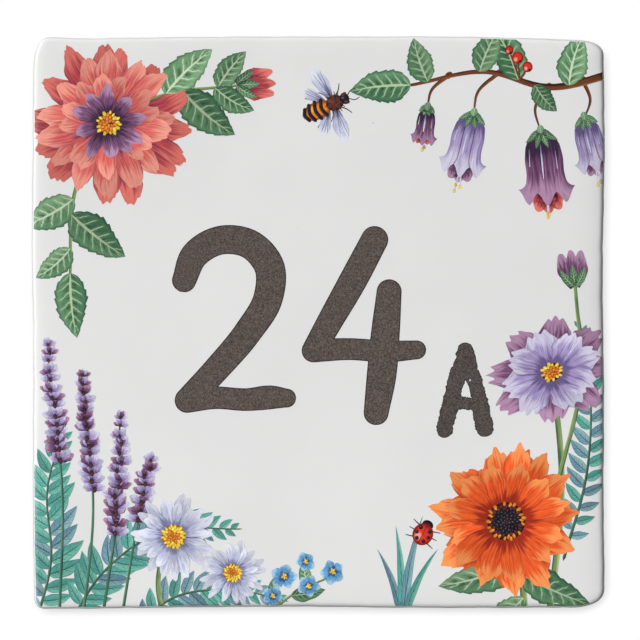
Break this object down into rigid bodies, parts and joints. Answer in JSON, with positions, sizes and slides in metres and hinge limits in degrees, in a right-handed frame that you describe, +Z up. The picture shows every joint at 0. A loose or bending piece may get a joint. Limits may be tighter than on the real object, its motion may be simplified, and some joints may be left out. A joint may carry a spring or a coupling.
{
  "type": "house number plaque",
  "caption": "Square hand-formed ceramic wall tile with a white glaze, a pillowed face and softly rounded, uneven edges, made to carry a house number beside a door.",
  "frame": {"origin": "middle of the flat back, on the wall's plane", "axes": "+Z up as the tile hangs, -Y out of the decorated face, +X to the right as seen from the front"},
  "size_m": [0.1502, 0.009, 0.1501],
  "materials": {
    "glaze": "glossy white tin glaze over pale clay, bare at the back, with fired-on enamel print on the face"
  },
  "bodies": {
    "root": {"tile": "glaze"}
  },
  "joints": []
}
